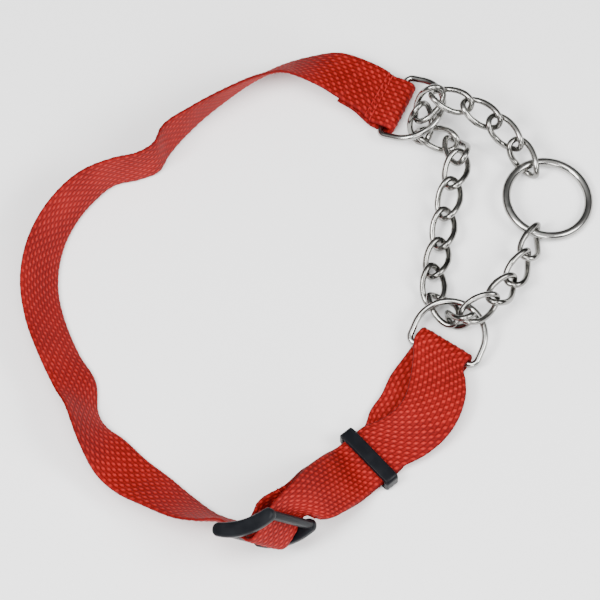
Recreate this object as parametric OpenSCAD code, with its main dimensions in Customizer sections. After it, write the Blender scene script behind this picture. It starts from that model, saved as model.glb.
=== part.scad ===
// Half-check martingale dog collar: a webbing band with a slide and a keeper, two D-rings,
// and a closed loop of twisted chain that carries the leash ring.
// The collar lies on a flat surface. Millimetres, +Z up, origin under its middle.

/* [Webbing] */
// Width of the webbing
webbing_width = 25; // [24:0.5:26]
// Thickness of the webbing
webbing_thickness = 1.6; // [1.2:0.1:1.8]

/* [D-rings] */
// Wire diameter of both D-rings
d_wire = 2.8; // [2.6:0.1:3]
// Distance between the centre lines of the two legs
d_width = 31; // [30.8:0.2:32]
// Length of the straight legs, from the bar's centre line
d_leg = 8; // [7:0.5:8.5]
// Bend radius at the ends of the bar, on the centre line
d_corner = 3; // [2.5:0.25:4]

/* [Leash ring] */
// Radius of the ring's centre line
ring_radius = 18; // [17:0.5:19]
// Wire diameter of the ring
ring_wire = 3.8; // [3.4:0.1:4]

/* [Chain] */
// Wire diameter of a link
link_wire = 2.6; // [2.4:0.1:2.6]
// Half length of a link's centre line
link_half_length = 9; // [8.9:0.05:9.1]
// Half width of a link's centre line
link_half_width = 4.7; // [4.5:0.1:4.8]
// Twist of a link from one end to the other, degrees
link_twist = 88; // [80:1:96]

/* [Slide] */
// Length of the slide along the webbing
slide_length = 31; // [30:0.5:32]
// Width of the slide across the webbing
slide_width = 33.4; // [33:0.2:34]
// Diameter of the three cross bars
slide_bar = 3.6; // [3.2:0.1:3.8]
// Thickness of the two side rails
slide_rail = 6; // [5.4:0.2:6.4]
// Bend radius of the two side rails, as seen from the side
slide_bow = 45; // [40:5:80]

/* [Keeper] */
// Length of the keeper along the webbing
keeper_length = 6.5; // [6:0.5:8]
// Wall thickness of the keeper
keeper_wall = 1.8; // [1.6:0.1:2]
// Width of the keeper's opening
keeper_opening = 26.4; // [26:0.2:27]
// Height of the keeper's opening
keeper_gap = 4.4; // [4.2:0.1:4.8]

/* [Hidden] */
red = "#c33028";
thread_red = "#d8483c";
steel = "#a9a8a4";
plastic = "#1c1e22";

// Middle of the whole collar, moved to the origin when a piece is drawn
middle = [3.35, -4.35, 0];

// ---- Where the pieces lie: [x, y, z] of the piece's own origin, and its turn about X, Y and Z
fixed_d_place = [40.4, 92.5, 4.4];
fixed_d_bearing = -25;
fixed_d_lift = 20;
fixed_fold_place = [42.5, 91.5, 4.4];
adjusting_d_place = [60, -27.8, 4.6];
adjusting_d_bearing = 66;
adjusting_d_lift = 14;
fold_place = [61, -25.4, 4.6];
fold_bearing = 56;
slide_place = [-14.5, -120, 24];
slide_turn = [102, -35, 0];
keeper_place = [29, -77, 4];
keeper_bearing = 41;
ring_place = [106.5, 46.5, 4.5];
ring_tilt = 8;

// ---- The webbing's route. A station is [x, y, z, bearing, roll]: the centre of the webbing, and
// the direction across it. Roll 0 is flat, 90 stands on edge, 180 is flat again the other way up.
sewn_tail = [
    [22, 104, 4.6, 241, 10],
    [29, 100, 4.2, 242, 6]
];
// Along and below the fixed D-ring's bar, for the end that is folded round it
fixed_fold = [
    [-7, 2], [-4, 2.5], [0, 2.5], [1.8, 1.8], [2.5, 0], [1.8, -1.8], [0, -2.5], [-4, -2.5], [-7, -2]
];
neck_band = [
    [32, 98.5, 6.4, 243, 5],
    [23, 104, 6.8, 241, 10],
    [13, 108.5, 7.6, 248, 20],
    [3, 109, 9, 256, 38],
    [-7, 107, 11.5, 268, 54],
    [-19, 101.5, 12.5, 288, 66],
    [-33, 92, 13.4, 312, 76],
    [-47, 81, 13.6, 317, 86],
    [-58, 70, 13.6, 333, 96],
    [-62, 62, 13.6, 318, 94],
    [-69, 58, 13.5, 296, 90],
    [-80, 55, 13.5, 297, 90],
    [-91, 48, 13.4, 318, 101],
    [-102, 35, 12.7, 333, 111],
    [-109, 19, 11.8, 352, 121],
    [-111, 2, 10.8, 365, 129],
    [-108, -15, 9.9, 375, 135],
    [-102, -31, 9.5, 383, 138],
    [-95, -45, 9, 388, 142],
    [-92, -57, 11, 385, 126],
    [-87, -69, 10.5, 412, 138],
    [-80, -77, 6.4, 417, 158],
    [-71, -86, 6, 416, 158],
    [-60, -94, 7.6, 421, 150],
    [-49, -102, 9.6, 425, 139],
    [-40, -108, 13, 413, 127]
];
// Along and out of the slide's plane, for the band as it weaves through the three bars
slide_weave = [[-12, -5.6], [-6.2, 0.9], [0, 5.4], [6.2, 0.9], [12, -5.6]];
front_layer = [
    [3.5, -108.5, 28.5, -24, 134],
    [10.5, -99, 20.5, -43, 150],
    [17.5, -89.5, 11.5, -47, 162]
];
keeper_to_fold = [
    [44, -67.5, 5.8, -42, 180],
    [51.5, -61.5, 7.5, -34, 180],
    [56, -54, 8, -25, 180],
    [58.3, -45.5, 8, -21, 180],
    [59, -37, 7.9, -27, 180]
];
// Along and above the fold's centre, round the adjusting D-ring's bar
fold_turn = [
    [-3, 3.1], [0, 2.9], [2.1, 2.1], [3, 0], [2.1, -2.1], [0, -3], [-3, -2.9]
];
fold_to_keeper = [
    [54.5, -35, 1.8, -32, 180],
    [49, -43.5, 2, -30, 180],
    [45, -52.5, 2, -32, 180],
    [39.5, -61, 2, -40, 180]
];
back_layer = [
    [16, -90, 8.9, -47, 162],
    [8.5, -98.8, 17.6, -43, 150],
    [1.2, -107.5, 25.8, -25, 134]
];
// Along and out of the slide's plane, for the end that is folded round the slide's centre bar
slide_fold = [
    [5.4, -8.5], [2.6, -4.8], [0, -3], [-2.1, -2.1], [-3, 0], [-2.1, 2.1], [0, 3],
    [1.8, 2.5], [2.9, 1.2], [3.9, -1.2], [5, -3.6], [6.6, -5.8]
];

// ---- The chain's route: the points where one link hooks the next, from the leash ring round
// through both D-rings and back to the leash ring, and each link's own roll about its length
chain_hooks = [
    [100.5, 59.5, 4.5], [93, 70.5, 10], [84, 79, 14.5], [72.5, 85.5, 17.5],
    [58, 89.5, 19.5], [52.5, 84.5, 12.5], [52, 78.5, 5], [66.5, 74, 4.5],
    [69, 65, 9.5], [65.5, 51.5, 9], [62.5, 38, 6.5], [60.5, 24.5, 5],
    [57, 10, 5], [57, -0.5, 3.5], [65.5, -12.5, 6], [70, -15.5, 14.5],
    [82.5, -7, 14.5], [90.5, 4, 9.5], [97, 17.5, 8], [101.5, 31.5, 5]
];
chain_rolls = [-40, -30, -20, -10, -10, -10, 5, 5, 0, 0, 0, 0, -5, -5, -70, 30, 30, 40, 50];

step_length = 3;
slide_end = (slide_length - slide_bar) / 2 - 0.9;
// How far a bar lies below the middle of the bowed slide
function slide_drop(x) = slide_bow - sqrt(slide_bow * slide_bow - x * x);

// ---- Vectors
function unit(v) = v / norm(v);
function turn_x(v, a) = [v.x, v.y * cos(a) - v.z * sin(a), v.y * sin(a) + v.z * cos(a)];
function turn_y(v, a) = [v.x * cos(a) + v.z * sin(a), v.y, -v.x * sin(a) + v.z * cos(a)];
function turn_z(v, a) = [v.x * cos(a) - v.y * sin(a), v.x * sin(a) + v.y * cos(a), v.z];
function turned(v, turn) = turn_z(turn_y(turn_x(v, turn.x), turn.y), turn.z);

// ---- Stations as [centre, across]
function across(bearing, roll) =
    [cos(roll) * cos(bearing), cos(roll) * sin(bearing), sin(roll)];
function laid(list) = [for (s = list) [[s[0], s[1], s[2]], across(s[3], s[4])]];
function placed(list, place, turn) =
    [for (s = list) [place + turned([s[0], 0, s[1]], turn), turned([0, 1, 0], turn)]];
keeper_half = (keeper_gap - 2 * webbing_thickness) / 6 + webbing_thickness / 2;
function in_keeper(sign) =
    placed([for (x = sign * [-7, 0, 7]) [x, sign * keeper_half]], keeper_place, [0, 0, keeper_bearing]);

route = concat(
    laid(sewn_tail),
    placed(fixed_fold, fixed_fold_place, [180, 0, fixed_d_bearing]),
    laid(neck_band),
    placed(slide_weave, slide_place, slide_turn),
    laid(front_layer),
    in_keeper(1),
    laid(keeper_to_fold),
    placed(fold_turn, fold_place, [0, 0, fold_bearing]),
    laid(fold_to_keeper),
    in_keeper(-1),
    laid(back_layer),
    placed(slide_fold, slide_place, slide_turn)
);

// ---- A smooth curve through the stations, with slopes that respect their spacing
last = len(route) - 1;
function gap(i) = norm(route[i + 1][0] - route[i][0]);
function slope(i, k) =
    i == 0 ? (route[1][k] - route[0][k]) / gap(0)
    : i == last ? (route[last][k] - route[last - 1][k]) / gap(last - 1)
    : ((route[i + 1][k] - route[i][k]) / gap(i) * gap(i - 1)
        + (route[i][k] - route[i - 1][k]) / gap(i - 1) * gap(i)) / (gap(i) + gap(i - 1));
function blend(a, b, sa, sb, h, t) =
    a * (2 * t * t * t - 3 * t * t + 1) + b * (3 * t * t - 2 * t * t * t)
    + sa * h * (t * t * t - 2 * t * t + t) + sb * h * (t * t * t - t * t);
function curve(i, t, k) =
    blend(route[i][k], route[i + 1][k], slope(i, k), slope(i + 1, k), gap(i), t);
samples = concat(
    [for (i = [0:last - 1])
        let (steps = max(1, round(gap(i) / step_length)))
        for (j = [0:steps - 1]) [curve(i, j / steps, 0), unit(curve(i, j / steps, 1))]],
    [[route[last][0], unit(route[last][1])]]
);

// ---- Polyhedron skin over rings of points, closed at both ends or into a loop
function strip_faces(rings, sides) = [
    for (i = [0:rings - 2])
        for (j = [0:sides - 1])
            let (a = i * sides + j, b = i * sides + (j + 1) % sides)
            each [[a, b, b + sides], [a, b + sides, a + sides]]
];
function loop_faces(rings, sides) = [
    for (i = [0:rings - 1])
        for (j = [0:sides - 1])
            let (k = (i + 1) % rings, a = i * sides + j, b = i * sides + (j + 1) % sides,
                c = k * sides + (j + 1) % sides, d = k * sides + j)
            each [[a, b, c], [a, c, d]]
];

module strap_solid() {
    n = len(samples);
    half_w = webbing_width / 2;
    half_t = webbing_thickness / 2;
    points = [for (i = [0:n - 1])
        let (c = samples[i][0], a = samples[i][1],
            along = samples[min(i + 1, n - 1)][0] - samples[max(i - 1, 0)][0],
            out = unit(cross(along, a)))
        each [c + a * half_w - out * half_t, c + a * half_w + out * half_t,
            c - a * half_w + out * half_t, c - a * half_w - out * half_t]];
    polyhedron(
        points,
        concat(strip_faces(n, 4), [[3, 2, 1, 0], [for (j = [0:3]) (n - 1) * 4 + j]])
    );
}

module webbing_strap() {
    color(red) translate(-middle) strap_solid();
}

// ---- Stitches: short rods of thread that lie across the webbing, on one of its faces
thread = 0.5;
stitch_length = 2.2;
stitch_pitch = 3.2;

module rod(from, to, radius) {
    way = to - from;
    translate(from)
        rotate([0, acos(way.z / norm(way)), atan2(way.y, way.x)])
            cylinder(h = norm(way), r = radius, $fn = 16);
}

// One row of stitches at a sample of the webbing; side is 1 for its upper face, -1 for its lower
module stitch_row(index, side) {
    base = samples[index][0];
    over = samples[index][1];
    along = samples[index + 1][0] - samples[index - 1][0];
    lift = unit(cross(along, over)) * side * (webbing_thickness / 2 + thread / 2 + 0.05);
    for (y = [-3.5 * stitch_pitch : stitch_pitch : 3.5 * stitch_pitch])
        rod(base + lift + over * (y - stitch_length / 2),
            base + lift + over * (y + stitch_length / 2), thread / 2);
}

fold_start = len(sewn_tail) + len(fixed_fold);
// First sample at or after a station of the route
function sample_of(station, i = 0) =
    norm(samples[i][0] - route[station][0]) < 0.01 ? i : sample_of(station, i + 1);

module sewn_end_stitching() {
    color(thread_red) translate(-middle) {
        stitch_row(sample_of(fold_start) - 2, 1);
        stitch_row(sample_of(fold_start) - 1, 1);
    }
}

module slide_end_stitching() {
    first = last + 1 - len(slide_fold);
    color(thread_red) translate(-middle) {
        stitch_row(sample_of(first) - 1, 1);
        stitch_row(sample_of(first), 1);
    }
}

// ---- Metal rings
module wire_arc(radius, from, sweep, wire) {
    rotate([0, 0, from])
        rotate_extrude(angle = sweep, $fn = 64)
            translate([radius, 0]) circle(d = wire, $fn = 32);
}

// Bar along Y at the origin, legs and arc towards +X
module d_ring() {
    half = d_width / 2;
    straight = half - d_corner;
    translate([0, -straight, 0])
        rotate([-90, 0, 0]) cylinder(h = 2 * straight, d = d_wire, $fn = 32);
    for (side = [-1, 1]) {
        translate([d_corner, side * straight, 0])
            wire_arc(d_corner, side > 0 ? 90 : 180, 90, d_wire);
        translate([d_corner, side * half, 0])
            rotate([0, 90, 0]) cylinder(h = d_leg - d_corner, d = d_wire, $fn = 32);
    }
    translate([d_leg, 0, 0]) wire_arc(half, -90, 180, d_wire);
}

module fixed_d_ring() {
    color(steel)
        translate(fixed_d_place - middle) rotate([0, -fixed_d_lift, fixed_d_bearing]) d_ring();
}

module adjusting_d_ring() {
    color(steel)
        translate(adjusting_d_place - middle) rotate([0, -adjusting_d_lift, adjusting_d_bearing]) d_ring();
}

module leash_ring() {
    color(steel)
        translate(ring_place - middle)
            rotate([0, ring_tilt, 0])
                rotate_extrude($fn = 96)
                    translate([ring_radius, 0]) circle(d = ring_wire, $fn = 32);
}

// ---- Slide: two bowed side rails and three cross bars, X along the webbing
module tri_glide_slide() {
    rail_width = 3.4;
    color(plastic)
        translate(slide_place - middle) rotate(slide_turn) {
            for (side = [-1, 1])
                translate([0, side * (slide_width - rail_width) / 2, 0])
                    rail(rail_width);
            for (x = [-slide_end, 0, slide_end])
                translate([x, -slide_width / 2 + rail_width / 2, -slide_drop(x)])
                    rotate([-90, 0, 0])
                        cylinder(h = slide_width - rail_width, d = slide_bar, $fn = 32);
        }
}

// A rail's outline: an arc of constant thickness with round ends
module rail(width) {
    straight = (slide_length - slide_rail) / 2;
    sweep = asin(straight / slide_bow);
    half = slide_rail / 2;
    function on_arc(radius, a) = [radius * sin(a), radius * cos(a) - slide_bow];
    upper = [for (i = [-10:10]) on_arc(slide_bow + half, i * sweep / 10)];
    lower = [for (i = [10:-1:-10]) on_arc(slide_bow - half, i * sweep / 10)];
    function end(side) = [for (i = [1:11])
        let (a = side * sweep,
            spin = side > 0 ? 90 - a - i * 15 : 270 - a - i * 15)
        on_arc(slide_bow, a) + half * [cos(spin), sin(spin)]];
    rotate([90, 0, 0])
        linear_extrude(height = width, center = true)
            polygon(concat(upper, end(1), lower, end(-1)));
}

// ---- Keeper: a flat tube with rounded corners, X along the webbing
module keeper_loop() {
    side_wall = 2.2;
    corner = 2;
    outer = [keeper_opening + 2 * side_wall, keeper_gap + 2 * keeper_wall];
    color(plastic)
        translate(keeper_place - middle)
            rotate([0, 0, keeper_bearing])
                rotate([90, 0, 90])
                    linear_extrude(height = keeper_length, center = true)
                        difference() {
                            union() {
                                square([outer.x - 2 * corner, outer.y], center = true);
                                square([outer.x, outer.y - 2 * corner], center = true);
                                for (x = [-1, 1], y = [-1, 1])
                                    translate([x * (outer.x / 2 - corner), y * (outer.y / 2 - corner)])
                                        circle(r = corner, $fn = 32);
                            }
                            square([keeper_opening, keeper_gap], center = true);
                        }
}

// ---- Chain links: an oval of wire, twisted about its length
link_rings = 36;
link_sides = 8;
function sign_power(v, p) = sign(v) * pow(abs(v), p);
function link_point(t) =
    let (x = link_half_length * sign_power(cos(t), 0.85),
        y = link_half_width * sign_power(sin(t), 0.8),
        lean = link_twist / 2 * x / link_half_length)
    [x, y * cos(lean), y * sin(lean)];
function link_side(t) =
    let (x = link_half_length * sign_power(cos(t), 0.85),
        lean = link_twist / 2 * x / link_half_length)
    [0, -sin(lean), cos(lean)];

module chain_link(number) {
    from = chain_hooks[number - 1];
    to = chain_hooks[number];
    way = to - from;
    points = [for (i = [0:link_rings - 1])
        let (t = i * 360 / link_rings,
            c = link_point(t),
            along = unit(link_point(t + 2) - link_point(t - 2)),
            out = unit(cross(along, link_side(t))),
            up = cross(out, along))
        for (j = [0:link_sides - 1])
            c + link_wire / 2 * (out * cos(j * 360 / link_sides) + up * sin(j * 360 / link_sides))];
    color(steel)
        translate((from + to) / 2 - middle)
            rotate([chain_rolls[number - 1], -asin(way.z / norm(way)), atan2(way.y, way.x)])
                polyhedron(points, loop_faces(link_rings, link_sides));
}

webbing_strap();
sewn_end_stitching();
slide_end_stitching();
fixed_d_ring();
adjusting_d_ring();
tri_glide_slide();
keeper_loop();
leash_ring();
chain_link(1);  // chain_link_01
chain_link(2);  // chain_link_02
chain_link(3);  // chain_link_03
chain_link(4);  // chain_link_04
chain_link(5);  // chain_link_05
chain_link(6);  // chain_link_06
chain_link(7);  // chain_link_07
chain_link(8);  // chain_link_08
chain_link(9);  // chain_link_09
chain_link(10);  // chain_link_10
chain_link(11);  // chain_link_11
chain_link(12);  // chain_link_12
chain_link(13);  // chain_link_13
chain_link(14);  // chain_link_14
chain_link(15);  // chain_link_15
chain_link(16);  // chain_link_16
chain_link(17);  // chain_link_17
chain_link(18);  // chain_link_18
chain_link(19);  // chain_link_19
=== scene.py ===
import math

import bpy
import numpy as np
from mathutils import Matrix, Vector


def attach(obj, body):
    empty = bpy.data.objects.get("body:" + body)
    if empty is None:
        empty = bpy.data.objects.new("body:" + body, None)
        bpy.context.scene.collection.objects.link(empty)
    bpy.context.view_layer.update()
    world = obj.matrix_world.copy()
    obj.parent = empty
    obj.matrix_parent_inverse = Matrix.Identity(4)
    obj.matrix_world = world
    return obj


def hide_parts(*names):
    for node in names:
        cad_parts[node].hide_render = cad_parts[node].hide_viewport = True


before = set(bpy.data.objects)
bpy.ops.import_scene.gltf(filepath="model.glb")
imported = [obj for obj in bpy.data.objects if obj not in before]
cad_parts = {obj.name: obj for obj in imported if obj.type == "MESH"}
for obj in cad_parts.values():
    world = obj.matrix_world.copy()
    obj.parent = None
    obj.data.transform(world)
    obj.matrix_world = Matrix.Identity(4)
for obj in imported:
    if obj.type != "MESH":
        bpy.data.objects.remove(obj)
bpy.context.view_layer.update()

MM = 0.001
# Middle of the whole collar in the coordinates of the lists below, millimetres
MIDDLE = np.array([3.35, -4.35, 0.0])


# ---------------------------------------------------------------- camera
CAMERA_DISTANCE = 2.5
CAMERA_ELEVATION = math.radians(63)
camera_data = bpy.data.cameras.new("camera")
camera_data.sensor_width = 36
camera_data.lens = 351
camera_data.clip_start, camera_data.clip_end = 0.1, 20
camera = bpy.data.objects.new("camera", camera_data)
bpy.context.scene.collection.objects.link(camera)
away = Vector((0, -math.cos(CAMERA_ELEVATION), math.sin(CAMERA_ELEVATION)))
camera.location = Vector(-MIDDLE * MM) + away * CAMERA_DISTANCE
camera.rotation_mode = "QUATERNION"
camera.rotation_quaternion = (-away).to_track_quat("-Z", "Y")
bpy.context.scene.camera = camera


# ---------------------------------------------------------------- sizes, millimetres
WEBBING_WIDTH = 25.0
WEBBING_THICKNESS = 1.6
D_WIRE, D_WIDTH, D_LEG, D_CORNER = 2.8, 31.0, 8.0, 3.0
RING_RADIUS, RING_WIRE = 18.0, 3.8
LINK_WIRE, LINK_HALF_LENGTH, LINK_HALF_WIDTH, LINK_TWIST = 2.6, 9.0, 4.7, 88.0
SLIDE_LENGTH, SLIDE_WIDTH, SLIDE_BAR, SLIDE_RAIL, SLIDE_BOW = 31.0, 33.4, 3.6, 6.0, 45.0
RAIL_WIDTH = 3.4
# How much fuller the rails are at their middle, and the end bars on their outer side
RAIL_CROWN, END_BAR_SWELL = 0.8, 0.7
# How far the end bars' outer side lies inside the ends of the slide
END_BAR_INSET = 0.9
KEEPER_LENGTH, KEEPER_WALL, KEEPER_OPENING, KEEPER_GAP = 6.5, 1.8, 26.4, 4.4
KEEPER_SIDE_WALL, KEEPER_CORNER = 2.2, 2.0
# How much longer the keeper is at its middle, and the part of that length its narrow ends lose
KEEPER_SWELL, KEEPER_END_LOSS = 0.9, 0.24

# ---------------------------------------------------------------- places and routes, millimetres
FIXED_D = dict(place=(40.4, 92.5, 4.4), bearing=-25, lift=20)
ADJUSTING_D = dict(place=(60, -27.8, 4.6), bearing=66, lift=14)
FIXED_FOLD_PLACE = (42.5, 91.5, 4.4)
FOLD_PLACE, FOLD_BEARING = (61, -25.4, 4.6), 56
SLIDE_PLACE, SLIDE_TURN = (-14.5, -120, 24), (102, -35, 0)
KEEPER_PLACE, KEEPER_BEARING = (29, -77, 4), 41
RING_PLACE, RING_TILT = (106.5, 46.5, 4.5), 8

SEWN_TAIL = [(22, 104, 4.6, 241, 10), (29, 100, 4.2, 242, 6)]
FIXED_FOLD = [
    (-7, 2), (-4, 2.5), (0, 2.5), (1.8, 1.8), (2.5, 0), (1.8, -1.8), (0, -2.5), (-4, -2.5),
    (-7, -2),
]
NECK_BAND = [
    (32, 98.5, 6.4, 243, 5), (23, 104, 6.8, 241, 10), (13, 108.5, 7.6, 248, 20),
    (3, 109, 9, 256, 38), (-7, 107, 11.5, 268, 54), (-19, 101.5, 12.5, 288, 66),
    (-33, 92, 13.4, 312, 76), (-47, 81, 13.6, 317, 86), (-58, 70, 13.6, 333, 96),
    (-62, 62, 13.6, 318, 94), (-69, 58, 13.5, 296, 90), (-80, 55, 13.5, 297, 90),
    (-91, 48, 13.4, 318, 101), (-102, 35, 12.7, 333, 111), (-109, 19, 11.8, 352, 121),
    (-111, 2, 10.8, 365, 129), (-108, -15, 9.9, 375, 135), (-102, -31, 9.5, 383, 138),
    (-95, -45, 9, 388, 142), (-92, -57, 11, 385, 126), (-87, -69, 10.5, 412, 138),
    (-80, -77, 6.4, 417, 158), (-71, -86, 6, 416, 158), (-60, -94, 7.6, 421, 150),
    (-49, -102, 9.6, 425, 139), (-40, -108, 13, 413, 127),
]
SLIDE_WEAVE = [(-12, -5.6), (-6.2, 0.9), (0, 5.4), (6.2, 0.9), (12, -5.6)]
FRONT_LAYER = [
    (3.5, -108.5, 28.5, -24, 134), (10.5, -99, 20.5, -43, 150), (17.5, -89.5, 11.5, -47, 162),
]
KEEPER_TO_FOLD = [
    (44, -67.5, 5.8, -42, 180), (51.5, -61.5, 7.5, -34, 180), (56, -54, 8, -25, 180),
    (58.3, -45.5, 8, -21, 180), (59, -37, 7.9, -27, 180),
]
FOLD_TURN = [(-3, 3.1), (0, 2.9), (2.1, 2.1), (3, 0), (2.1, -2.1), (0, -3), (-3, -2.9)]
FOLD_TO_KEEPER = [
    (54.5, -35, 1.8, -32, 180), (49, -43.5, 2, -30, 180), (45, -52.5, 2, -32, 180),
    (39.5, -61, 2, -40, 180),
]
BACK_LAYER = [
    (16, -90, 8.9, -47, 162), (8.5, -98.8, 17.6, -43, 150), (1.2, -107.5, 25.8, -25, 134),
]
SLIDE_FOLD = [
    (5.4, -8.5), (2.6, -4.8), (0, -3), (-2.1, -2.1), (-3, 0), (-2.1, 2.1), (0, 3), (1.8, 2.5),
    (2.9, 1.2), (3.9, -1.2), (5, -3.6), (6.6, -5.8),
]

# Points where one link hooks the next, from the leash ring round to the leash ring
CHAIN_HOOKS = [
    (100.5, 59.5, 4.5), (93, 70.5, 10), (84, 79, 14.5), (72.5, 85.5, 17.5), (58, 89.5, 19.5),
    (52.5, 84.5, 12.5), (52, 78.5, 5), (66.5, 74, 4.5), (69, 65, 9.5), (65.5, 51.5, 9),
    (62.5, 38, 6.5), (60.5, 24.5, 5), (57, 10, 5), (57, -0.5, 3.5), (65.5, -12.5, 6),
    (70, -15.5, 14.5), (82.5, -7, 14.5), (90.5, 4, 9.5), (97, 17.5, 8), (101.5, 31.5, 5),
]
CHAIN_ROLLS = [-40, -30, -20, -10, -10, -10, 5, 5, 0, 0, 0, 0, -5, -5, -70, 30, 30, 40, 50]


# ---------------------------------------------------------------- vectors
def unit(v):
    return v / np.linalg.norm(v, axis=-1, keepdims=True)


def turn_matrix(turn):
    """Turn about X, then Y, then Z, in degrees."""
    a, b, c = (math.radians(t) for t in turn)
    about_x = np.array([[1, 0, 0], [0, math.cos(a), -math.sin(a)], [0, math.sin(a), math.cos(a)]])
    about_y = np.array([[math.cos(b), 0, math.sin(b)], [0, 1, 0], [-math.sin(b), 0, math.cos(b)]])
    about_z = np.array([[math.cos(c), -math.sin(c), 0], [math.sin(c), math.cos(c), 0], [0, 0, 1]])
    return about_z @ about_y @ about_x


def put(points, place, turn):
    return points @ turn_matrix(turn).T + np.array(place, float)


def laid(stations):
    s = np.array(stations, float)
    b, r = np.radians(s[:, 3]), np.radians(s[:, 4])
    return s[:, :3], np.c_[np.cos(r) * np.cos(b), np.cos(r) * np.sin(b), np.sin(r)]


def placed(stations, place, turn):
    s = np.array(stations, float)
    flat = np.c_[s[:, 0], np.zeros(len(s)), s[:, 1]]
    return put(flat, place, turn), np.repeat([turn_matrix(turn)[:, 1]], len(s), 0)


def in_keeper(sign):
    half = (KEEPER_GAP - 2 * WEBBING_THICKNESS) / 6 + WEBBING_THICKNESS / 2
    stations = [(sign * x, sign * half) for x in (-7, 0, 7)]
    return placed(stations, KEEPER_PLACE, (0, 0, KEEPER_BEARING))


# ---------------------------------------------------------------- meshes
def make_object(name, points_mm, faces):
    mesh = bpy.data.meshes.new(name)
    mesh.from_pydata(((np.asarray(points_mm) - MIDDLE) * MM).tolist(), [], faces)
    mesh.polygons.foreach_set("use_smooth", [True] * len(mesh.polygons))
    mesh.update()
    obj = bpy.data.objects.new(name, mesh)
    bpy.context.scene.collection.objects.link(obj)
    return obj


def finish_piece(obj, material, body, slot, *nodes):
    obj.data.materials.append(material)
    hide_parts(*nodes)
    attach(obj, body)
    return obj


def loop_faces(rings, sides, closed=True, first=0):
    """Quads over rings of points, the last ring joined to the first where closed."""
    faces = []
    for i in range(rings if closed else rings - 1):
        k = (i + 1) % rings
        for j in range(sides):
            n = (j + 1) % sides
            faces.append((first + i * sides + j, first + i * sides + n,
                          first + k * sides + n, first + k * sides + j))
    return faces


def sweep(path, side_hint, radius, sides):
    """Points of a round wire along a closed path; side_hint is a vector off the path at each point."""
    along = unit(np.roll(path, -1, 0) - np.roll(path, 1, 0))
    out = unit(np.cross(along, side_hint))
    up = np.cross(out, along)
    angle = np.linspace(0, 2 * math.pi, sides, endpoint=False)
    radius = np.broadcast_to(radius, len(path))[:, None, None]
    rings = path[:, None] + radius * (out[:, None] * np.cos(angle)[None, :, None]
                                      + up[:, None] * np.sin(angle)[None, :, None])
    return rings.reshape(-1, 3)


# ---------------------------------------------------------------- materials
class Nodes:
    """A material's node tree with short ways to add and link nodes."""

    def __init__(self, name):
        self.material = bpy.data.materials.new(name)
        self.material.use_nodes = True
        self.tree = self.material.node_tree
        self.shader = self.tree.nodes["Principled BSDF"]

    def add(self, kind, **values):
        node = self.tree.nodes.new(kind)
        for key, value in values.items():
            if key in node.inputs:
                node.inputs[key].default_value = value
            else:
                setattr(node, key, value)
        return node

    def link(self, out, into):
        self.tree.links.new(out, into)

    def set(self, **values):
        for key, value in values.items():
            self.shader.inputs[key.replace("_", " ")].default_value = value

    def ramp(self, factor, stops):
        node = self.tree.nodes.new("ShaderNodeValToRGB")
        elements = node.color_ramp.elements
        while len(elements) < len(stops):
            elements.new(0.5)
        for element, (position, colour) in zip(elements, stops):
            element.position = position
            element.color = (*colour, 1)
        self.link(factor, node.inputs[0])
        return node.outputs[0]

    def math(self, operation, a, b=None, c=None):
        node = self.tree.nodes.new("ShaderNodeMath")
        node.operation = operation
        for i, value in enumerate((a, b, c)):
            if value is None:
                continue
            if isinstance(value, (int, float)):
                node.inputs[i].default_value = value
            else:
                self.link(value, node.inputs[i])
        return node.outputs[0]

    def noise(self, scale, detail):
        node = self.add("ShaderNodeTexNoise", Scale=scale, Detail=detail)
        where = self.tree.nodes.new("ShaderNodeTexCoord").outputs["Object"]
        self.link(where, node.inputs["Vector"])
        return node.outputs[0]

    def bump(self, height, distance, strength):
        node = self.add("ShaderNodeBump", Strength=strength, Distance=distance)
        self.link(height, node.inputs["Height"])
        self.link(node.outputs[0], self.shader.inputs["Normal"])


def fabric(name, painted_gap_shade, middle, light, sheen):
    """Woven yarn: the weave attribute is 0 in the gaps and 1 on the crowns of the yarn; the colour ramp
    over it paints shade into the gaps and a highlight onto the crowns.
    """
    n = Nodes(name)
    weave = n.add("ShaderNodeAttribute", attribute_name="weave").outputs["Fac"]
    patchy = n.noise(60.0, 4.0)
    yarn = n.noise(1500.0, 2.0)
    level = n.math("ADD", weave, n.math("MULTIPLY_ADD", patchy, 0.6, -0.3))
    level = n.math("ADD", level, n.math("MULTIPLY_ADD", yarn, 0.5, -0.25))
    # The darkest stop is painted shade in the yarn gaps, and the lightest stop is a painted highlight on
    # the yarn crowns.
    n.link(n.ramp(level, [(0.05, painted_gap_shade), (0.5, middle), (1.1, light)]), n.shader.inputs["Base Color"])
    n.link(n.math("MULTIPLY_ADD", yarn, 0.25, 0.55), n.shader.inputs["Roughness"])
    n.set(Sheen_Weight=sheen, Sheen_Roughness=0.4, Specular_IOR_Level=0.1)
    n.shader.inputs["Sheen Tint"].default_value = (1, 0.45, 0.4, 1)
    n.bump(yarn, 0.00018, 0.6)
    return n.material


def plated(name, colour, shade, roughness):
    """Polished plated wire with faint drawing lines and small scratches; noise patches of the darker shade
    colour paint dark reflections onto it.
    """
    n = Nodes(name)
    noise_patches = n.noise(90.0, 5.0)
    fine = n.noise(900.0, 3.0)
    # Painted dark reflections: noise patches blend the metal colour towards the darker shade colour.
    n.link(n.ramp(noise_patches, [(0.3, shade), (0.6, colour)]), n.shader.inputs["Base Color"])
    n.link(n.math("MULTIPLY_ADD", fine, 0.14, roughness), n.shader.inputs["Roughness"])
    n.set(Metallic=1.0)
    n.bump(fine, 0.00004, 0.35)
    return n.material


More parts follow.
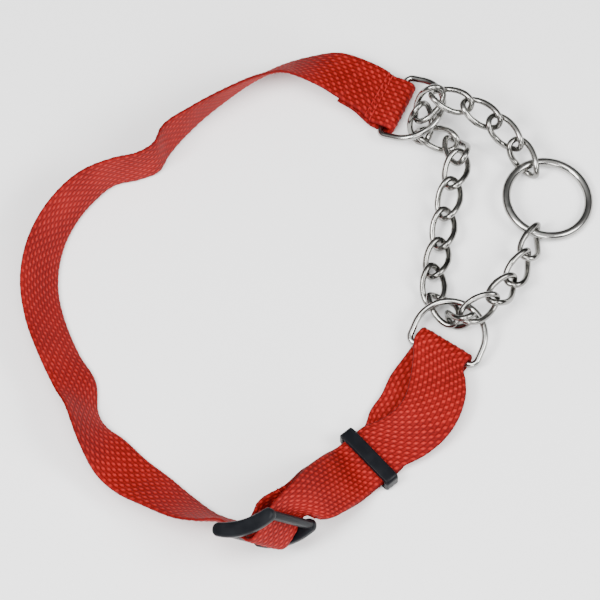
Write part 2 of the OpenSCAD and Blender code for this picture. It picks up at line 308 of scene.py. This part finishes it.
def moulded(name, colour, worn):
    """Glossy moulded plastic with a faint grain and rubbed patches."""
    n = Nodes(name)
    noise_patches = n.noise(120.0, 5.0)
    grain = n.noise(2500.0, 2.0)
    n.link(n.ramp(noise_patches, [(0.45, colour), (0.75, worn)]), n.shader.inputs["Base Color"])
    n.link(n.math("MULTIPLY_ADD", noise_patches, 0.2, 0.26), n.shader.inputs["Roughness"])
    n.set(Specular_IOR_Level=0.1)
    n.bump(grain, 0.00003, 0.3)
    return n.material


# Each fabric's first colour is painted shade for the yarn gaps, and its last colour is a painted highlight
# for the yarn crowns.
RED = fabric("webbing_red", (0.10, 0.0016, 0.0016), (0.235, 0.006, 0.005), (0.35, 0.024, 0.020), 0.02)
THREAD = fabric("thread_red", (0.12, 0.003, 0.003), (0.26, 0.009, 0.008), (0.40, 0.035, 0.028), 0.02)
# The chain's plating gets darker colours than the rings' plating as painted shade, taking back the bright
# floor reflection on the chain; each second colour is the painted dark reflection of the patches.
CHROME = plated("plated_chain", (0.30, 0.295, 0.28), (0.15, 0.147, 0.137), 0.11)
RING_CHROME = plated("plated_ring", (0.38, 0.375, 0.36), (0.24, 0.235, 0.225), 0.10)
BLACK = moulded("black_plastic", (0.004, 0.0045, 0.006), (0.008, 0.009, 0.011))


# ---------------------------------------------------------------- webbing
CURVE_STEPS = 24
ROW_STEP = 0.63
COLUMNS = 13
POINTS_PER_COLUMN = 4
YARN_LENGTH = 1.9
YARN_HEIGHT = 0.34
# Below 1 the yarn's crowns are broad and its gaps narrow
YARN_ROUNDNESS = 0.6
# How much of its height a yarn keeps where it passes under, and how far it slants in its column
UNDER_HEIGHT, YARN_SLANT = 0.35, 0.35


def webbing_curve():
    """The webbing's centre, direction across and direction along, at every row of its mesh."""
    parts = [
        laid(SEWN_TAIL),
        placed(FIXED_FOLD, FIXED_FOLD_PLACE, (180, 0, FIXED_D["bearing"])),
        laid(NECK_BAND),
        placed(SLIDE_WEAVE, SLIDE_PLACE, SLIDE_TURN),
        laid(FRONT_LAYER),
        in_keeper(1),
        laid(KEEPER_TO_FOLD),
        placed(FOLD_TURN, FOLD_PLACE, (0, 0, FOLD_BEARING)),
        laid(FOLD_TO_KEEPER),
        in_keeper(-1),
        laid(BACK_LAYER),
        placed(SLIDE_FOLD, SLIDE_PLACE, SLIDE_TURN),
    ]
    stations = np.hstack([np.vstack([p[0] for p in parts]), np.vstack([p[1] for p in parts])])
    gap = np.linalg.norm(np.diff(stations[:, :3], axis=0), axis=1)[:, None]
    rate = np.diff(stations, axis=0) / gap
    slope = np.vstack([rate[:1],
                       (rate[1:] * gap[:-1] + rate[:-1] * gap[1:]) / (gap[1:] + gap[:-1]),
                       rate[-1:]])
    t = np.linspace(0, 1, CURVE_STEPS, endpoint=False)[None, :, None]
    a, b, h = stations[:-1, None], stations[1:, None], gap[:, None]
    curve = (a * (2 * t**3 - 3 * t**2 + 1) + b * (3 * t**2 - 2 * t**3)
             + slope[:-1, None] * h * (t**3 - 2 * t**2 + t) + slope[1:, None] * h * (t**3 - t**2))
    curve = np.vstack([curve.reshape(-1, 6), stations[-1:]])
    run = np.r_[0, np.cumsum(np.linalg.norm(np.diff(curve[:, :3], axis=0), axis=1))]
    rows = np.linspace(0, run[-1], int(run[-1] / ROW_STEP) + 1)
    curve = np.column_stack([np.interp(rows, run, curve[:, k]) for k in range(6)])
    centre, across = curve[:, :3], unit(curve[:, 3:])
    along = unit(np.gradient(centre, axis=0))
    out = unit(np.cross(along, across))
    return rows, centre, across, along, out


def weave_height(over, run, face):
    """Height of the yarn, 0 to 1, at distances across and along; the two faces alternate."""
    pitch = WEBBING_WIDTH / COLUMNS
    place = (over + WEBBING_WIDTH / 2) / pitch
    column = np.clip(np.floor(place), 0, COLUMNS - 1)
    crown = np.clip(np.cos(math.pi * (place - column - 0.5)), 0, 1) ** YARN_ROUNDNESS
    slant = YARN_SLANT * (place - column - 0.5)
    wave = face * np.sin(math.pi * (run / YARN_LENGTH + column + slant))
    height = np.abs(wave) ** YARN_ROUNDNESS
    return crown * np.where(wave > 0, height, UNDER_HEIGHT * height)


def make_webbing():
    rows, centre, across, along, out = webbing_curve()
    half = WEBBING_WIDTH / 2
    over = np.linspace(-half, half, COLUMNS * POINTS_PER_COLUMN + 1)
    rng = np.random.default_rng(7)
    slow = np.convolve(rng.normal(0, 1, len(rows) + 40), np.hanning(41) / 8, "valid")[:len(rows)]

    def press(run, depth, width):
        return depth * np.exp(-((rows - run) / width) ** 2)

    # The row of the neck band that lies over the sewn tail's cut end
    after_fold, within = 80, 400
    off_tail = np.linalg.norm(centre[after_fold:within] - np.array(SEWN_TAIL[0][:3]), axis=1)
    tail_end = rows[after_fold + np.argmin(off_tail)]
    shaped = press(tail_end, 0.5, 1.3) + press(tail_end - 2.6, -0.25, 1.2)
    body = (WEBBING_THICKNESS - YARN_HEIGHT) / 2
    edge = np.sqrt(np.clip(1 - (np.abs(over) / half) ** 12, 0, 1))

    def face(side, columns):
        o = over[columns][None, :]
        weave = weave_height(o, rows[:, None], side)
        calm = edge[columns][None, :]
        level = (body * calm + YARN_HEIGHT * weave * calm + 0.04 * slow[:, None] * calm
                 + (shaped[:, None] * calm if side > 0 else 0))
        return (centre[:, None] + across[:, None] * (o * (1 + 0.002 * slow[:, None]))[..., None]
                + out[:, None] * (side * level)[..., None]), weave * calm

    every = np.arange(len(over))
    top, top_weave = face(1, every)
    bottom, bottom_weave = face(-1, every[-2:0:-1])
    points = np.concatenate([top, bottom], axis=1)
    weave = np.concatenate([top_weave, bottom_weave], axis=1)
    sides = points.shape[1]
    faces = loop_faces(len(rows), sides, closed=False)
    faces = [f[::-1] for f in faces]
    faces.append(tuple(range(sides)))
    faces.append(tuple(range(len(rows) * sides - 1, (len(rows) - 1) * sides - 1, -1)))
    obj = make_object("webbing", points.reshape(-1, 3), faces)
    attribute = obj.data.attributes.new("weave", "FLOAT", "POINT")
    attribute.data.foreach_set("value", weave.reshape(-1).astype(np.float32))
    finish_piece(obj, RED, "band", "webbing", "webbing_strap")
    return rows, centre, across, along, out


# ---------------------------------------------------------------- stitching
THREAD_RADIUS = 0.32
STITCH_LENGTH = 2.3
STITCH_PITCH = 3.2
# How far a stitch's middle stands off the webbing, and how far its ends dip from there
STITCH_STAND, STITCH_DIP = 0.28, 0.75


def make_stitches(name, body, node, curve, runs):
    """Rows of lockstitch across the webbing, on both of its faces: each stitch is a low arch of thread."""
    rows, centre, across, along, out = curve
    points, faces = [], []
    arch = np.linspace(-1, 1, 9)
    for run in runs:
        i = int(np.argmin(np.abs(rows - run)))
        for side in (1, -1):
            for y in np.arange(-3.5, 3.6) * STITCH_PITCH:
                lift = WEBBING_THICKNESS / 2 + STITCH_STAND - STITCH_DIP * arch**4
                path = (centre[i] + across[i] * (y + arch[:, None] * STITCH_LENGTH / 2)
                        + out[i] * side * lift[:, None])
                first = sum(len(p) for p in points)
                direction = unit(np.gradient(path, axis=0))
                upward = unit(np.cross(direction, along[i]))
                angle = np.linspace(0, 2 * math.pi, 8, endpoint=False)
                thin = THREAD_RADIUS * (1 - 0.5 * arch**6)[:, None, None]
                ring = path[:, None] + thin * (upward[:, None] * np.cos(angle)[None, :, None]
                                               + along[i] * np.sin(angle)[None, :, None])
                points.append(ring.reshape(-1, 3))
                faces += loop_faces(len(path), 8, closed=False, first=first)
                faces.append(tuple(range(first, first + 8)))
                faces.append(tuple(range(first + 8 * len(path) - 1, first + 8 * len(path) - 9, -1)))
    obj = make_object(name, np.vstack(points), faces)
    attribute = obj.data.attributes.new("weave", "FLOAT", "POINT")
    attribute.data.foreach_set("value", np.full(len(obj.data.vertices), 0.6, np.float32))
    return finish_piece(obj, THREAD, body, "thread", node)


# ---------------------------------------------------------------- metal
def d_ring_path():
    """Centre line of a D-ring: bar along Y at the origin, legs and arc towards +X."""
    half, corner = D_WIDTH / 2, D_CORNER

    def arc(x, y, radius, start, end, count):
        a = np.radians(np.linspace(start, end, count, endpoint=False))
        return np.c_[x + radius * np.cos(a), y + radius * np.sin(a)]

    bar = np.c_[np.zeros(24), np.linspace(half - corner, corner - half, 24, endpoint=False)]
    low = arc(corner, corner - half, corner, 180, 270, 8)
    leg = np.c_[np.linspace(corner, D_LEG, 6, endpoint=False), np.full(6, -half)]
    bow = arc(D_LEG, 0, half, -90, 90, 72)
    back = np.c_[np.linspace(D_LEG, corner, 6, endpoint=False), np.full(6, half)]
    high = arc(corner, half - corner, corner, 90, 180, 8)
    flat = np.vstack([bar, low, leg, bow, back, high])
    return np.c_[flat, np.zeros(len(flat))]


def make_d_ring(name, body, node, place, bearing, lift):
    path = d_ring_path()
    points = sweep(path, np.tile([0, 0, 1.0], (len(path), 1)), D_WIRE / 2, 24)
    points = put(points, place, (0, -lift, bearing))
    obj = make_object(name, points, loop_faces(len(path), 24))
    return finish_piece(obj, RING_CHROME, body, "steel", node)


def make_leash_ring():
    a = np.linspace(0, 2 * math.pi, 160, endpoint=False)
    path = RING_RADIUS * np.c_[np.cos(a), np.sin(a), np.zeros(len(a))]
    weld = 1 + 0.035 * np.exp(-((np.degrees(a) - 200) / 2.2) ** 2)
    points = sweep(path, np.tile([0, 0, 1.0], (len(a), 1)), weld * RING_WIRE / 2, 28)
    obj = make_object("leash_ring_wire", put(points, RING_PLACE, (0, RING_TILT, 0)),
                      loop_faces(len(a), 28))
    return finish_piece(obj, RING_CHROME, "ring", "steel", "leash_ring")


def link_line(t):
    """Centre line of a link at angles t, and the direction its flat faces at each point."""
    c, s = np.cos(t), np.sin(t)
    x = LINK_HALF_LENGTH * np.sign(c) * np.abs(c) ** 0.85
    y = LINK_HALF_WIDTH * np.sign(s) * np.abs(s) ** 0.8
    lean = np.radians(LINK_TWIST / 2) * x / LINK_HALF_LENGTH
    return (np.c_[x, y * np.cos(lean), y * np.sin(lean)],
            np.c_[np.zeros(len(t)), -np.sin(lean), np.cos(lean)])


def make_link(number, body):
    t = np.linspace(0, 2 * math.pi, 120, endpoint=False)
    path, facing = link_line(t)
    weld = 1 + 0.09 * np.exp(-((np.degrees(t) - 90) / 5.0) ** 2)
    start, end = (np.array(CHAIN_HOOKS[number - 1 + k], float) for k in (0, 1))
    way = end - start
    points = sweep(path, facing, weld * LINK_WIRE / 2, 18)
    turn = (CHAIN_ROLLS[number - 1], -math.degrees(math.asin(way[2] / np.linalg.norm(way))),
            math.degrees(math.atan2(way[1], way[0])))
    obj = make_object(f"link_{number:02d}_wire", put(points, (start + end) / 2, turn),
                      loop_faces(len(t), 18))
    return finish_piece(obj, CHROME, body, "steel", f"chain_link_{number:02d}")


# ---------------------------------------------------------------- plastic
def bevel(obj, width, segments, angle):
    modifier = obj.modifiers.new("bevel", "BEVEL")
    modifier.width, modifier.segments = width * MM, segments
    modifier.limit_method, modifier.angle_limit = "ANGLE", math.radians(angle)


def prism(outline, low, high, first):
    """Points and faces of a flat outline (x, z) drawn out along Y."""
    count = len(outline)
    points = [(x, y, z) for y in (low, high) for x, z in outline]
    faces = [(first + i, first + (i + 1) % count, first + count + (i + 1) % count, first + count + i)
             for i in range(count)]
    faces.append(tuple(range(first + count - 1, first - 1, -1)))
    faces.append(tuple(range(first + count, first + 2 * count)))
    return points, faces


def rail_outline():
    """Outline (x, z) of a side rail: an arc, fuller at its middle, with round ends."""
    reach = math.asin((SLIDE_LENGTH - SLIDE_RAIL) / 2 / SLIDE_BOW)
    half = SLIDE_RAIL / 2

    def on_arc(radius, angle):
        return np.c_[radius * np.sin(angle), radius * np.cos(angle) - SLIDE_BOW]

    def end(angle, start):
        spin = start + np.linspace(0, math.pi, 17)[1:-1]
        return on_arc(SLIDE_BOW, [angle]) + half * np.c_[np.sin(spin), np.cos(spin)]

    steps = np.linspace(-reach, reach, 25)
    crown = RAIL_CROWN * (1 - (steps / reach) ** 2)
    upper = on_arc(SLIDE_BOW + half + crown, steps)
    lower = on_arc(SLIDE_BOW - half, steps[::-1])
    return np.vstack([upper, end(reach, reach), lower, end(-reach, math.pi - reach)])[::-1]


def bar_outline(x):
    """Outline (x, z) of a cross bar that lies x along the slide from its middle."""
    turn = np.linspace(0, 2 * math.pi, 28, endpoint=False)
    drop = SLIDE_BOW - math.sqrt(SLIDE_BOW**2 - x**2)
    outline = np.c_[x + SLIDE_BAR / 2 * np.cos(turn), SLIDE_BAR / 2 * np.sin(turn) - drop]
    outline[:, 0] += END_BAR_SWELL * np.sign(x) * (x * np.cos(turn) > 0)
    return outline


def make_slide():
    """Two bowed side rails with softened edges, two end bars and a middle bar."""
    rail_middle = (SLIDE_WIDTH - RAIL_WIDTH) / 2
    end_x = (SLIDE_LENGTH - SLIDE_BAR) / 2 - END_BAR_INSET
    pieces = [(rail_outline(), side * rail_middle - RAIL_WIDTH / 2, side * rail_middle + RAIL_WIDTH / 2)
              for side in (-1, 1)]
    pieces += [(bar_outline(x), -rail_middle, rail_middle) for x in (-end_x, 0, end_x)]
    points, faces = [], []
    for outline, low, high in pieces:
        piece_points, piece_faces = prism(outline, low, high, len(points))
        points += piece_points
        faces += piece_faces
    obj = make_object("slide_body", put(np.array(points), SLIDE_PLACE, SLIDE_TURN), faces)
    bevel(obj, 1.1, 5, 60)
    return finish_piece(obj, BLACK, "slide", "plastic", "tri_glide_slide")


def make_keeper():
    """A flat tube with rounded corners, longer at its middle than at its two ends."""
    half_y, half_z = KEEPER_OPENING / 2 + KEEPER_SIDE_WALL, KEEPER_GAP / 2 + KEEPER_WALL
    outer = []
    for sy, sz, start in ((1, 1, 0), (-1, 1, 90), (-1, -1, 180), (1, -1, 270)):
        a = np.radians(np.linspace(start, start + 90, 10))
        outer += list(zip(sy * (half_y - KEEPER_CORNER) + KEEPER_CORNER * np.cos(a),
                          sz * (half_z - KEEPER_CORNER) + KEEPER_CORNER * np.sin(a)))
    outer = np.array(outer)
    inner = np.c_[np.clip(outer[:, 0], -KEEPER_OPENING / 2, KEEPER_OPENING / 2),
                  np.clip(outer[:, 1], -KEEPER_GAP / 2, KEEPER_GAP / 2)]
    half_x = KEEPER_LENGTH / 2 + KEEPER_SWELL
    soft_edge = 0.5
    rings = []
    for x, outline, swell in ((-half_x, inner, 0), (-half_x, outer, -soft_edge),
                              (-half_x + soft_edge, outer, 0), (0, outer, 0),
                              (half_x - soft_edge, outer, 0), (half_x, outer, -soft_edge),
                              (half_x, inner, 0)):
        grown = outline * (1 + swell / np.array([half_y, half_z]))
        near_end = 1 / (1 + np.exp(-(np.abs(grown[:, 0]) - half_y + 4.2) / 0.5))
        rings.append(np.c_[x * (1 - KEEPER_END_LOSS * near_end), grown])
    points = np.vstack(rings)
    obj = make_object("keeper_body", put(points, KEEPER_PLACE, (0, 0, KEEPER_BEARING)),
                      loop_faces(len(rings), len(outer)))
    bevel(obj, 0.35, 3, 40)
    return finish_piece(obj, BLACK, "keeper", "plastic", "keeper_loop")


# ---------------------------------------------------------------- the collar
LINK_BODIES = {4: "leash_run", 17: "leash_run"}
curve = make_webbing()
rows, centre = curve[0], curve[1]


def run_at(point, low, high):
    """Distance along the webbing of its row nearest to a point, searched between two fractions."""
    a, b = int(low * len(rows)), int(high * len(rows))
    return rows[a + int(np.argmin(np.linalg.norm(centre[a:b] - np.array(point), axis=1)))]


sewn = run_at(NECK_BAND[0][:3], 0.02, 0.2)
slide_end = run_at(BACK_LAYER[-1][:3], 0.8, 0.97)
make_stitches("sewn_end_thread", "band", "sewn_end_stitching", curve, (sewn - 5, sewn - 2.5))
make_stitches("slide_end_thread", "band", "slide_end_stitching", curve, (slide_end + 0.5, slide_end + 3))
make_d_ring("fixed_d_wire", "fixed_d", "fixed_d_ring", **FIXED_D)
make_d_ring("adjusting_d_wire", "adjusting_d", "adjusting_d_ring", **ADJUSTING_D)
make_leash_ring()
for number in range(1, len(CHAIN_HOOKS)):
    make_link(number, LINK_BODIES.get(number, f"link_{number:02d}"))
make_slide()
make_keeper()


# ---------------------------------------------------------------- floor and light
def make_floor():
    mesh = bpy.data.meshes.new("floor")
    size = 3.0
    mesh.from_pydata([(-size, -size, 0), (size, -size, 0), (size, size, 0), (-size, size, 0)], [],
                     [(0, 1, 2, 3)])
    floor = bpy.data.objects.new("floor", mesh)
    bpy.context.scene.collection.objects.link(floor)
    n = Nodes("floor_white")
    n.set(Base_Color=(0.97, 0.97, 0.97, 1), Roughness=0.7, Specular_IOR_Level=0.1)
    mesh.materials.append(n.material)


def make_light(name, place, power, size):
    light = bpy.data.lights.new(name, "AREA")
    light.energy, light.size = power, size
    obj = bpy.data.objects.new(name, light)
    obj.location = place
    obj.rotation_mode = "QUATERNION"
    obj.rotation_quaternion = (-Vector(place)).to_track_quat("-Z", "Y")
    bpy.context.scene.collection.objects.link(obj)


def make_world():
    world = bpy.data.worlds.new("studio")
    bpy.context.scene.world = world
    world.use_nodes = True
    tree = world.node_tree
    background = tree.nodes["Background"]
    where = tree.nodes.new("ShaderNodeTexCoord")
    split = tree.nodes.new("ShaderNodeSeparateXYZ")
    ramp = tree.nodes.new("ShaderNodeValToRGB")
    north = tree.nodes.new("ShaderNodeMapRange")
    shade = tree.nodes.new("ShaderNodeMath")
    stops = [(0.0, 0.9), (0.12, 0.15), (0.45, 0.2), (0.72, 1.0), (1.0, 1.0)]
    elements = ramp.color_ramp.elements
    while len(elements) < len(stops):
        elements.new(0.5)
    for element, (position, level) in zip(elements, stops):
        element.position = position
        element.color = (level, level, level, 1)
    tree.links.new(where.outputs["Generated"], split.inputs[0])
    tree.links.new(split.outputs["Z"], ramp.inputs[0])
    for name, value in (("From Min", 0.05), ("From Max", 0.5), ("To Min", 1.15), ("To Max", 0.25)):
        north.inputs[name].default_value = value
    shade.operation = "MULTIPLY"
    tree.links.new(split.outputs["Y"], north.inputs["Value"])
    tree.links.new(north.outputs[0], shade.inputs[0])
    tree.links.new(ramp.outputs[0], shade.inputs[1])
    tree.links.new(shade.outputs[0], background.inputs["Color"])
    background.inputs["Strength"].default_value = 1.0


make_floor()
make_light("key", (-0.7, -0.5, 1.1), 22, 0.5)
make_light("fill", (0.9, -0.3, 0.9), 16, 0.6)
make_light("front", (0.1, -1.2, 0.7), 10, 0.5)
make_light("high", (-0.15, -0.35, 1.6), 16, 0.6)
make_world()
